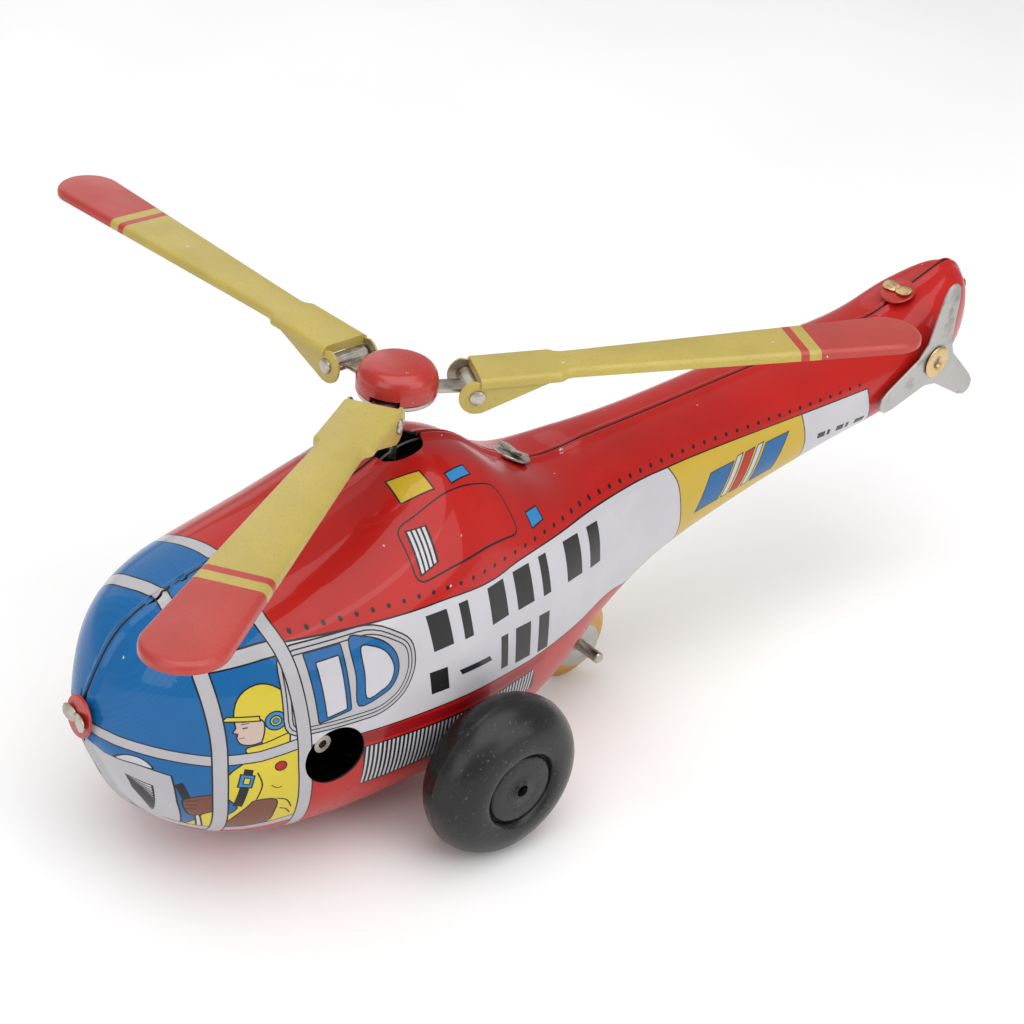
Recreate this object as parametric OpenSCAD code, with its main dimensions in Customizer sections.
// Wind-up tinplate helicopter. +X is the nose, +Y the port side, +Z up.
// The origin is on the ground, straight below the rotor shaft.

/* [Body shells] */
// Thickness of the pressed tinplate
tin = 0.6; // [0.5:0.1:0.8]
// Diameter of the hole in the roof around the rotor shaft
roof_hole_d = 9.2; // [8:0.2:9.6]
// Diameter of the hole in the port side that the winding key goes through
key_hole_d = 11.4; // [10:0.2:11.6]
// Rings drawn between two neighbouring body stations
ring_steps = 2; // [1:1:3]
// Facets along half of one ring
ring_facets = 16; // [12:2:24]

/* [Main rotor] */
// Height of the blade hinges above the ground
rotor_z = 80; // [79:0.5:84]
// Radius of the circle that the blade tips draw
rotor_r = 98; // [90:1:104]
// Radius of the circle through the blade hinges
hinge_r = 13.3; // [13:0.1:14]
// Heading of the first blade, from the nose towards port
first_blade = 34.6; // [0:0.1:90]
// Upward slope at rest of the blade that points to the tail
blade_rise = 3.5; // [2:0.5:6]
// Upward slope at rest of the other two blades
side_rise = 1.5; // [0.5:0.5:4]
// Diameter of the rotor shaft
shaft_d = 1.6; // [1.4:0.1:1.8]
// Diameter of the domed cap
cap_d = 13.6; // [13:0.1:14.4]

/* [Tail rotor] */
// Distance of the tail rotor's axis behind the rotor shaft
tail_x = 137.3; // [136:0.1:138.5]
// Height of the tail rotor's axis
tail_z = 57.3; // [56.5:0.1:58]
// Distance of the tail rotor's sheet from the middle plane
tail_y = 13.9; // [13.7:0.1:14.5]
// Radius to the tips of the tail rotor
tail_r = 17.9; // [16:0.1:19]

/* [Wheels] */
// Radius of the two main wheels
wheel_r = 15.8; // [15.4:0.1:16]
// Radius of the round tyre section
tyre_r = 6.8; // [6:0.1:7]
// Distance of a main wheel's middle plane from the middle of the toy
wheel_y = 33; // [32.8:0.1:35]
// Distance of the main axle behind the rotor shaft
axle_back = 3.5; // [3:0.1:4]
// Diameter of the main axle
axle_d = 2.4; // [2:0.1:2.6]
// Radius of the pressed rear wheel
rear_r = 9.5; // [9:0.1:9.8]
// Distance of the rear axle behind the rotor shaft
rear_back = 50; // [49:0.5:51]

/* [Clockwork] */
// Distance of the winding arbor in front of the rotor shaft
arbor_x = 28.5; // [27.5:0.5:28.5]
// Height of the winding arbor
arbor_z = 28.5; // [27.5:0.5:28.5]
// Diameter of the winding arbor
arbor_d = 3.4; // [3:0.1:3.6]
// Distance from the middle plane to the outer end of the winding arbor
arbor_end = 22; // [20:0.5:22.5]
// Length of the thin end that the winding key grips
key_grip = 5.5; // [5:0.5:6]
// Half the distance between the motor plates
plate_gap = 9; // [9:0.1:9.4]
// Thickness of the motor plates
plate_t = 0.8; // [0.6:0.1:1]
// Teeth of the great wheel
great_teeth = 44; // [44:1:44]
// Turns of the mainspring
spring_turns = 7; // [5:1:8]

/* [Hidden] */

$fn = 48;
run = 0.06;      // radial clearance of a running fit
main_z = wheel_r;
rear_z = rear_r;

// ---- body form -------------------------------------------------------------------------
// One row per station: x, roof height, keel height, half width, height of the widest line,
// fullness of the upper quarter, fullness of the lower quarter (2 is an ellipse).
STATIONS = [
    [62.2, 34.6, 31.6, 1.5, 33, 2.2, 2.2], [60.5, 39.5, 26.5, 7.0, 32, 2.5, 2.2],
    [56, 47.8, 16.5, 13.3, 30, 3.0, 2.2], [50, 52.1, 10, 18.5, 29, 3.1, 2.2],
    [42, 55, 5.8, 22.6, 28.5, 3.0, 2.2], [32, 57.4, 4.2, 25.4, 28, 2.8, 2.3],
    [20, 60.5, 3.4, 26.4, 28, 2.8, 2.3], [8, 64.8, 3, 26.2, 28.5, 2.8, 2.3],
    [-2, 69, 3, 25.3, 29.5, 2.6, 2.4], [-12, 67.4, 3, 23.3, 31, 2.4, 2.5],
    [-22, 61, 4, 21.2, 33.5, 2.7, 2.5], [-34, 56, 8, 18.3, 37, 3.2, 2.5],
    [-48, 56.8, 17.4, 14.5, 41, 3.2, 2.4], [-64, 57.9, 26.3, 12.7, 44.5, 3.0, 2.3],
    [-87, 59.8, 33.6, 12.3, 48.8, 2.9, 2.3], [-110, 61.6, 39.3, 12.5, 51.5, 2.8, 2.3],
    [-130, 63.6, 43.2, 12.4, 53.5, 2.7, 2.3], [-144, 69, 47.3, 10.8, 57, 2.6, 2.3],
    [-154, 71.6, 51.2, 7.1, 60, 2.3, 2.3], [-160, 66, 58, 2.0, 62, 2.0, 2.2]];

LAST = len(STATIONS) - 1;
function station(i) = STATIONS[max(0, min(LAST, i))];
// A smooth curve through the stations; s counts stations from the nose
function lines(s) = let(i = min(floor(s), LAST - 1), t = s - i,
    a = station(i - 1), b = station(i), c = station(i + 1), d = station(i + 2))
    0.5 * (2 * b + (c - a) * t + (2 * a - 5 * b + 4 * c - d) * t * t + (3 * b - a - 3 * c + d) * t * t * t);
// A point of the port half ring at station s: turn 0 is the roof line and 180 the keel line
function hull_point(s, turn, skin) = let(L = lines(s), w = L[3] - skin,
    up = turn <= 90, h = up ? L[1] - skin - L[4] : L[4] - L[2] - skin, e = 2 / (up ? L[5] : L[6]))
    [L[0] * (1 - skin / 110), w * pow(abs(sin(turn)), e) * (turn == 0 || turn == 180 ? 0 : 1),
     L[4] + (up ? 1 : -1) * h * pow(abs(cos(turn)), e)];

rings = LAST * ring_steps;                 // number of gaps between rings
across = ring_facets + 1;                  // points on one half ring
function ring_s(i) = LAST * i / rings;
function turn_at(j) = 180 * j / ring_facets;
shell_points = [for (skin = [0, tin], i = [0:rings], j = [0:ring_facets])
    hull_point(ring_s(i), turn_at(j), skin)];
function vert(layer, i, j) = (layer * (rings + 1) + i) * across + j;
function quad(a, b, c, d) = [[a, b, c], [a, c, d]];
shell_faces = concat(
    [for (i = [0:rings - 1], j = [0:ring_facets - 1], f = quad(vert(0, i, j), vert(0, i + 1, j),
        vert(0, i + 1, j + 1), vert(0, i, j + 1))) f],
    [for (i = [0:rings - 1], j = [0:ring_facets - 1], f = quad(vert(1, i, j), vert(1, i, j + 1),
        vert(1, i + 1, j + 1), vert(1, i + 1, j))) f],
    [for (i = [0:rings - 1], f = quad(vert(0, i, 0), vert(1, i, 0), vert(1, i + 1, 0), vert(0, i + 1, 0))) f],
    [for (i = [0:rings - 1], f = quad(vert(0, i, ring_facets), vert(0, i + 1, ring_facets),
        vert(1, i + 1, ring_facets), vert(1, i, ring_facets))) f],
    [for (j = [0:ring_facets - 1], f = quad(vert(0, 0, j), vert(0, 0, j + 1), vert(1, 0, j + 1), vert(1, 0, j))) f],
    [for (j = [0:ring_facets - 1], f = quad(vert(0, rings, j), vert(1, rings, j),
        vert(1, rings, j + 1), vert(0, rings, j + 1))) f]);

module port_half() { polyhedron(points = shell_points, faces = shell_faces, convexity = 6); }

// ---- small helpers ---------------------------------------------------------------------
// A cylinder along Y from y0 to y1 at [x, z]
module rod_y(d, y0, y1, at = [0, 0]) {
    translate([at[0], y1, at[1]]) rotate([90, 0, 0]) cylinder(d = d, h = y1 - y0);
}
// A flat shape drawn in X and Z, thick from y0 to y1
module slab_y(y0, y1, at = [0, 0]) {
    translate([at[0], y1, at[1]]) rotate([90, 0, 0]) linear_extrude(y1 - y0) children();
}
// Gear outline: trapezoid teeth, the first tooth on the angle phase
function gear_points(teeth, module_mm, phase) = let(r = teeth * module_mm / 2,
    root = r - 1.15 * module_mm, tip = r + 0.8 * module_mm, p = 360 / teeth)
    [for (k = [0:teeth - 1], c = [[root, -0.30], [tip, -0.11], [tip, 0.11], [root, 0.30]])
        c[0] * [cos(phase + (k + c[1]) * p), sin(phase + (k + c[1]) * p)]];
// The phase of a gear b that meshes with a gear a, seen from a in the direction dir
function mesh_phase(phase_a, teeth_a, teeth_b, dir) =
    dir + 180 - (phase_a - dir) * teeth_a / teeth_b + 180 / teeth_b;
// The crossing of a circle around a and a circle around b, on the upper side
function upper_crossing(a, ra, b, rb) = let(d = norm(b - a), e = (b - a) / d,
    t = (ra * ra - rb * rb + d * d) / (2 * d), h = sqrt(ra * ra - t * t))
    a + t * e + h * (e[0] < 0 ? [e[1], -e[0]] : [-e[1], e[0]]);
function heading(a, b) = atan2(b[1] - a[1], b[0] - a[0]);

// ---- clockwork layout ------------------------------------------------------------------
coarse = 0.75;                // tooth module of the great wheel and the second pinion
fine = 0.5;                   // tooth module of the rest of the train
great_y = 4;
great_t = 1;
train_y = 7.2;                // the layer of the second wheel and the two fine pinions
train_t = 0.8;
pinion_teeth = 12;
second_teeth = 50;
second_pinion_teeth = 8;
crown_teeth = 28;
crown_r = crown_teeth * fine / 2;
crown_face_y = 3.8;           // back of the crown wheel's teeth
crown_tooth = 0.34;           // thickness of a crown tooth
arbor = [arbor_x, arbor_z];
main = [-axle_back, main_z];
second = upper_crossing(arbor, (great_teeth + second_pinion_teeth) * coarse / 2,
    main, (second_teeth + pinion_teeth) * fine / 2);
crown = [0, second[1] + sqrt(pow((second_teeth + pinion_teeth) * fine / 2, 2) - pow(second[0], 2))];
great_phase = heading(arbor, second);
second_pinion_phase = mesh_phase(great_phase, great_teeth, second_pinion_teeth, great_phase);
second_phase = heading(second, crown);
crown_pinion_phase = mesh_phase(second_phase, second_teeth, pinion_teeth, second_phase);
axle_pinion_phase = mesh_phase(second_phase, second_teeth, pinion_teeth, heading(second, main));
rotor_pinion_z = crown[1] + crown_r - 1.4;
pin_d = 1.8;                  // diameter of the train's arbors
plate_x = [-9, 38];
plate_z = [8, 50];
PILLARS = [[12, 10.5], [34, 46.5], [-6.2, 46.5], [-6.2, 26]];
pillar_d = 2;
step_z = 40.4;
foot_z = 40;                  // lower end of the rotor shaft

// ---- body ------------------------------------------------------------------------------
nose = [62.2, 33.1];
neck = [-28.6, 57.6];
neck_lean = -21;
tail = [-138.6, 67.0];
tail_lean = 24;
washer_d = 7.6;
washer_t = 0.5;
brad_d = 1.6;

// Places a child on the roof or nose seam: its z axis is the fastener's axis
module at_nose() { translate([nose[0], 0, nose[1]]) rotate([0, 90, 0]) children(); }
module at_neck() { translate([neck[0], 0, neck[1]]) rotate([0, neck_lean, 0]) children(); }
module at_tail() { translate([tail[0], 0, tail[1]]) rotate([0, tail_lean, 0]) children(); }

module shell_cuts() {
    translate([-1, 0, 60]) cylinder(d = roof_hole_d, h = 20);
    rod_y(5, -40, 40, main);
    // slot in the belly for the rear wheel and its fork
    translate([-rear_back - 9, -5.4, 0]) cube([25, 10.8, 24]);
    at_neck() translate([0, 0, -6]) cylinder(d = brad_d + 0.4, h = 8);
    at_tail() translate([0, 0, -6]) cylinder(d = brad_d + 0.4, h = 8);
    at_nose() translate([0, 0, -8]) cylinder(d = brad_d + 0.4, h = 8);
}
module left_shell() {
    color("firebrick") difference() {
        port_half();
        shell_cuts();
        rod_y(key_hole_d, 12, 40, arbor);
        rod_y(3.4, 2, 16, [-tail_x, tail_z]);
    }
}
module right_shell() {
    color("firebrick") difference() {
        mirror([0, 1, 0]) port_half();
        shell_cuts();
    }
}
module washer() {
    difference() {
        cylinder(d = washer_d, h = washer_t);
        translate([0, 0, -1]) cylinder(d = brad_d + 0.2, h = 3);
    }
}
// A split rivet: a shank through the seam and two legs bent flat on the washer
module brad(leg = 3.2) {
    translate([0, 0, -4]) cylinder(d = brad_d, h = 4.2 + washer_t);
    for (s = [0, 180]) rotate([0, 0, 90 + s]) translate([0.1, -1, washer_t + 0.02]) cube([leg, 2, 0.5]);
}
module nose_washer() { color("red") at_nose() translate([0, 0, 0.3]) washer(); }
module nose_brad() { color("silver") at_nose() translate([0, 0, 0.3]) brad(); }
module neck_washer() { color("silver") at_neck() translate([0, 0, 0.4]) washer(); }
module neck_brad() { color("silver") at_neck() translate([0, 0, 0.4]) brad(); }
module tail_washer() { color("red") at_tail() translate([0, 0, 0.4]) washer(); }
module tail_brad() { color("goldenrod") at_tail() translate([0, 0, 0.4]) brad(); }

// ---- motor frame -----------------------------------------------------------------------
module plate_outline() {
    polygon([[plate_x[0], 10], [plate_x[0] + 3, plate_z[0]], [plate_x[1] - 4, plate_z[0]],
        [plate_x[1], 12], [plate_x[1], plate_z[1] - 4], [plate_x[1] - 4, plate_z[1]],
        [plate_x[0], plate_z[1]]]);
}
module motor_plate(side) {
    y0 = side > 0 ? plate_gap : -plate_gap - plate_t;
    difference() {
        union() {
            slab_y(y0, y0 + plate_t) plate_outline();
            // lugs that stand out to the shell wall
            for (x = [12, -6]) translate([x, side > 0 ? y0 : -22, 44])
                cube([5, side > 0 ? 22 - y0 : 22 + y0 + plate_t, plate_t]);
        }
        for (p = PILLARS) rod_y(pillar_d, y0 - 1, y0 + plate_t + 1, p);
        rod_y(arbor_d + 2 * run, y0 - 1, y0 + plate_t + 1, arbor);
        rod_y(axle_d + 2 * run, y0 - 1, y0 + plate_t + 1, main);
        for (p = [second, crown]) rod_y(pin_d + 2 * run, y0 - 1, y0 + plate_t + 1, p);
    }
}
module motor_plate_left() { color("lightgray") motor_plate(1); }
module motor_plate_right() { color("lightgray") motor_plate(-1); }
module motor_pillars() {
    color("silver") for (p = PILLARS) rod_y(pillar_d, -plate_gap - plate_t - 0.5, plate_gap + plate_t + 0.5, p);
}
module step_bracket() {
    color("silver") difference() {
        union() {
            translate([-3, -plate_gap, step_z]) cube([6, plate_gap + 1.6, plate_t]);
            translate([-3, -plate_gap, step_z]) cube([6, plate_t, 6]);
        }
        translate([0, 0, step_z - 1]) cylinder(d = shaft_d + 2 * run, h = 4);
    }
}
module bearing_bridge() {
    color("silver") difference() {
        translate([-4, -plate_gap - plate_t, plate_z[1]]) cube([8, 2 * (plate_gap + plate_t), plate_t]);
        translate([0, 0, plate_z[1] - 1]) cylinder(d = shaft_d + 2 * run, h = 4);
    }
}
spring_in = 2.6;
spring_out = 12.5;
spring_strip = 0.35;
function spiral(t, off) = let(r = spring_in + (spring_out - spring_in) * t + off)
    r * [cos(360 * spring_turns * t), sin(360 * spring_turns * t)];
module mainspring() {
    steps = spring_turns * 18;
    color("slategray") slab_y(-7.6, 2.6, arbor) polygon(concat(
        [for (i = [0:steps]) spiral(i / steps, 0)],
        [for (i = [steps:-1:0]) spiral(i / steps, spring_strip)]));
}

// ---- clockwork -------------------------------------------------------------------------
module spur(teeth, module_mm, phase, bore, y0, y1, at) {
    slab_y(y0, y1, at) difference() {
        polygon(gear_points(teeth, module_mm, phase));
        circle(d = bore);
    }
}
click_at = arbor + 9 * [cos(150), sin(150)];
module winding_arbor() {
    color("silver") difference() {
        union() {
            rod_y(arbor_d, -plate_gap - plate_t - 1, arbor_end, arbor);
            rod_y(arbor_d + 1.6, -8, 3.4, arbor);
            // the shoulder that the key stops against
            rod_y(arbor_d + 2, plate_gap + plate_t + 0.8, arbor_end - key_grip, arbor);
        }
        rod_y(1.6, arbor_end - 2, arbor_end + 1, arbor);
    }
}
ratchet_teeth = 12;
module ratchet_wheel() {
    color("silver") slab_y(5.5, 6.5, arbor) difference() {
        polygon([for (k = [0:ratchet_teeth - 1], c = [[5.8, 0], [4.6, 0.08]])
            c[0] * [cos((k + c[1]) * 360 / ratchet_teeth + 20), sin((k + c[1]) * 360 / ratchet_teeth + 20)]]);
        circle(d = arbor_d);
    }
}
module great_wheel() {
    color("goldenrod") difference() {
        spur(great_teeth, coarse, great_phase, arbor_d + 2 * run, great_y, great_y + great_t, arbor);
        rod_y(1.2, great_y - 1, great_y + 3, click_at);
        for (a = [30, 270]) rod_y(7, great_y - 1, great_y + 3, arbor + 10 * [cos(a), sin(a)]);
    }
}
module click_rivet() {
    color("silver") {
        rod_y(1.2, great_y, 6.7, click_at);
        rod_y(2.4, 6.7, 7, click_at);
    }
}
module click() {
    tip = arbor + 6.3 * [cos(118), sin(118)];
    d = tip - click_at;
    n = [-d[1], d[0]] / norm(d);
    color("silver") slab_y(5.3, 6.5) difference() {
        union() {
            translate(click_at) circle(d = 3);
            polygon([click_at + 1.4 * n, click_at - 1.4 * n, tip - 0.3 * n, tip + 0.3 * n]);
        }
        translate(click_at) circle(d = 1.2 + 2 * run);
    }
}
module second_arbor() { color("silver") rod_y(pin_d, -plate_gap - plate_t - 0.4, plate_gap + plate_t + 0.4, second); }
module second_pinion() {
    color("silver") spur(second_pinion_teeth, coarse, second_pinion_phase, pin_d, great_y - 0.5, great_y + great_t + 0.5, second);
}
module second_wheel() {
    color("goldenrod") spur(second_teeth, fine, second_phase, pin_d, train_y, train_y + train_t, second);
}
module crown_arbor() { color("silver") rod_y(pin_d, -plate_gap - plate_t - 0.4, plate_gap + plate_t + 0.4, crown); }
module crown_pinion() {
    color("silver") spur(pinion_teeth, fine, crown_pinion_phase, pin_d, train_y - 0.2, train_y + train_t + 0.2, crown);
}
module crown_wheel() {
    color("goldenrod") difference() {
        union() {
            rod_y(2 * crown_r + 0.6, crown_face_y, crown_face_y + 0.8, crown);
            rod_y(4, crown_face_y, crown_face_y + 2, crown);
            for (k = [0:crown_teeth - 1]) translate([crown[0], 0, crown[1]]) rotate([0, k * 360 / crown_teeth, 0])
                translate([-crown_tooth / 2, crown_face_y - 1.25, crown_r - 1.3]) cube([crown_tooth, 1.35, 1.4]);
        }
        rod_y(pin_d, 0, 9, crown);
    }
}
module rotor_pinion() {
    color("silver") translate([0, 0, rotor_pinion_z]) linear_extrude(1.8) difference() {
        polygon(gear_points(pinion_teeth, fine, 90 + 180 / pinion_teeth));
        circle(d = shaft_d);
    }
}
module main_axle() { color("silver") rod_y(axle_d, -wheel_y - 3.4, wheel_y + 3.4, main); }
module axle_pinion() {
    color("silver") spur(pinion_teeth, fine, axle_pinion_phase, axle_d, train_y - 0.2, train_y + train_t + 0.2, main);
}

// ---- wheels ----------------------------------------------------------------------------
hub_half = 6.1;               // half the width of the raised centre disc
module tyre_profile() {
    difference() {
        union() {
            translate([wheel_r - tyre_r, 0]) circle(r = tyre_r);
            translate([axle_d / 2, -3.6]) square([wheel_r - tyre_r, 7.2]);
            translate([axle_d / 2, -hub_half]) square([5.7, 2 * hub_half]);
        }
        translate([-20, -20]) square([20 + axle_d / 2, 40]);
    }
}
module main_wheel(side) {
    translate([main[0], side * wheel_y, main[1]]) rotate([90, 0, 0]) rotate_extrude($fn = 64) tyre_profile();
}
module wheel_left() { color([0.09, 0.09, 0.09]) main_wheel(1); }
module wheel_right() { color([0.09, 0.09, 0.09]) main_wheel(-1); }
rear = [-rear_back, rear_z];
rear_pin_d = 2.4;
module rear_wheel() {
    color("goldenrod") difference() {
        union() {
            rod_y(2 * rear_r, -1, 1, rear);
            rod_y(7, -2.2, 2.2, rear);
        }
        rod_y(rear_pin_d + 2 * run, -3, 3, rear);
    }
}
module rear_axle_pin() {
    color("silver") {
        rod_y(rear_pin_d, -4.6, 10, rear);
        rod_y(4, -5.2, -4.6, rear);
    }
}
// Two arms that hang on the rear pillar of the motor and hold the rear axle
module rear_fork() {
    up = PILLARS[3];
    color("lightgray") difference() {
        union() {
            for (y = [-4.2, 3.4]) slab_y(y, y + 0.8) union() {
                polygon([rear + [-1.5, 4.6], rear + [1.5, -4.6], up + [-20, -12], up + [2, -2.6], up + [0, 2.6]]);
                translate(rear) circle(r = 4.8);
                translate(up) circle(r = 2.6);
            }
            translate([-27, -4.2, 15.6]) cube([6, 8.4, 0.8]);
        }
        rod_y(rear_pin_d, -6, 6, rear);
        rod_y(pillar_d, -6, 6, up);
    }
}

// ---- main rotor ------------------------------------------------------------------------
HEADINGS = [for (k = [0:2]) first_blade + 120 * k];
RISES = [side_rise, blade_rise, side_rise];
barrel = 7.8;                 // length of a hinge barrel
hinge_d = 2.2;
sheet = 0.5;                  // thickness of the blade tinplate
web_z = 2.6;                  // height of a blade's underside over its hinge
ear_y = 4.3;                  // distance of an ear's inner face from the blade's middle
module rotor_shaft() { color("silver") translate([0, 0, foot_z]) cylinder(d = shaft_d, h = rotor_z + 3 - foot_z); }
module hub_ring() {
    color("silver") difference() {
        union() {
            translate([0, 0, rotor_z - 1.3]) cylinder(d = cap_d + 0.2, h = 0.6);
            translate([0, 0, rotor_z - 2.9]) cylinder(d = 3.2, h = 1.7);
        }
        translate([0, 0, rotor_z - 4]) cylinder(d = shaft_d, h = 5);
    }
}
cap_h = 5.9;
module cap_solid(r, h, soften) {
    rotate_extrude($fn = 64) union() {
        square([r, h - soften]);
        square([r - soften, h]);
        translate([r - soften, h - soften]) intersection() {
            circle(r = soften);
            square(soften);
        }
    }
}
module hub_cap() {
    color("crimson") translate([0, 0, rotor_z - 0.7]) difference() {
        cap_solid(cap_d / 2, cap_h, 2.6);
        translate([0, 0, -0.1]) cap_solid(cap_d / 2 - 0.6, cap_h - 0.5, 2.1);
        for (a = HEADINGS) rotate([0, 0, a]) translate([0, -2.3, -1]) cube([9, 4.6, 2.3]);
    }
}
module rotor_arms() {
    color("silver") difference() {
        union() {
            translate([0, 0, rotor_z - 0.4]) cylinder(d = 9, h = 0.8);
            for (a = HEADINGS) rotate([0, 0, a]) {
                translate([0, -2, rotor_z - 0.4]) cube([hinge_r, 4, 0.8]);
                translate([hinge_r, barrel / 2, rotor_z]) rotate([90, 0, 0]) cylinder(d = 3.4, h = barrel);
            }
        }
        translate([0, 0, rotor_z - 2]) cylinder(d = shaft_d, h = 4);
        for (a = HEADINGS) rotate([0, 0, a]) translate([hinge_r, 6, rotor_z])
            rotate([90, 0, 0]) cylinder(d = hinge_d, h = 12);
    }
}
module hinge_pins() {
    color("silver") for (a = HEADINGS) rotate([0, 0, a]) translate([hinge_r, 5.2, rotor_z])
        rotate([90, 0, 0]) cylinder(d = hinge_d, h = 10.4);
}
// A blade's plan, drawn from its hinge along X and drawn in all round by inset
blade_len = rotor_r - hinge_r;
module blade_plan(inset) {
    tip_r = 6.1 - inset;
    tip_c = blade_len - 6.1;
    root = ear_y + sheet - inset;
    waist = 4.1 - inset;
    polygon(concat([[1, -root], [16, -root], [17.5, -waist]],
        [for (t = [-90:10:90]) [tip_c + tip_r * cos(t), tip_r * sin(t)]],
        [[17.5, waist], [16, root], [1, root]]));
}
module blade(k) {
    color("khaki") rotate([0, 0, HEADINGS[k]]) translate([hinge_r, 0, rotor_z]) rotate([0, -RISES[k], 0])
    difference() {
        union() {
            translate([0, 0, web_z]) linear_extrude(sheet) blade_plan(0);
            // turned-down rim
            translate([0, 0, web_z - 1]) linear_extrude(1.05) difference() {
                blade_plan(0);
                blade_plan(sheet);
                translate([-1, -10]) square([19, 20]);
            }
            // ears
            for (y = [-ear_y - sheet, ear_y]) slab_y(y, y + sheet) union() {
                circle(r = 3.3);
                polygon([[-0.4, -3.3], [0.6, -3.2], [4, -2], [15.9, web_z], [15.9, web_z + sheet / 2], [0.6, web_z + sheet / 2]]);
            }
        }
        translate([0, 7, 0]) rotate([90, 0, 0]) cylinder(d = hinge_d + 2 * run, h = 14);
    }
}
module blade_1() { blade(0); }
module blade_2() { blade(1); }
module blade_3() { blade(2); }

// ---- tail rotor ------------------------------------------------------------------------
tail_hole_d = 3.2;
module tail_rotor() {
    color("gainsboro") slab_y(tail_y - 0.25, tail_y + 0.25, [-tail_x, tail_z]) difference() {
        union() {
            circle(r = 4.6);
            for (a = [-25, 95, 215]) rotate(a) polygon([[0, -4.4], [tail_r - 3, -2.6], [tail_r - 1, -1.9], [tail_r, -0.8],
                [tail_r, 0.8], [tail_r - 1, 1.9], [tail_r - 3, 2.6], [0, 4.4]]);
        }
        circle(d = tail_hole_d + 2 * run);
    }
}
module tail_eyelet() {
    at = [-tail_x, tail_z];
    color("goldenrod") difference() {
        union() {
            rod_y(tail_hole_d, 8, tail_y + 0.5, at);
            rod_y(7.2, tail_y + 0.4, tail_y + 1, at);
            rod_y(6.4, tail_y - 1.1, tail_y - 0.4, at);
        }
        rod_y(1.8, 6, tail_y + 2, at);
    }
}

left_shell();
right_shell();
nose_washer();
nose_brad();
neck_washer();
neck_brad();
tail_washer();
tail_brad();
motor_plate_left();
motor_plate_right();
motor_pillars();
step_bracket();
bearing_bridge();
mainspring();
rear_fork();
rear_axle_pin();
tail_eyelet();
rotor_shaft();
rotor_pinion();
hub_ring();
hub_cap();
rotor_arms();
hinge_pins();
blade_1();
blade_2();
blade_3();
tail_rotor();
main_axle();
axle_pinion();
wheel_left();
wheel_right();
rear_wheel();
great_wheel();
click_rivet();
click();
second_arbor();
second_pinion();
second_wheel();
crown_arbor();
crown_pinion();
crown_wheel();
winding_arbor();
ratchet_wheel();
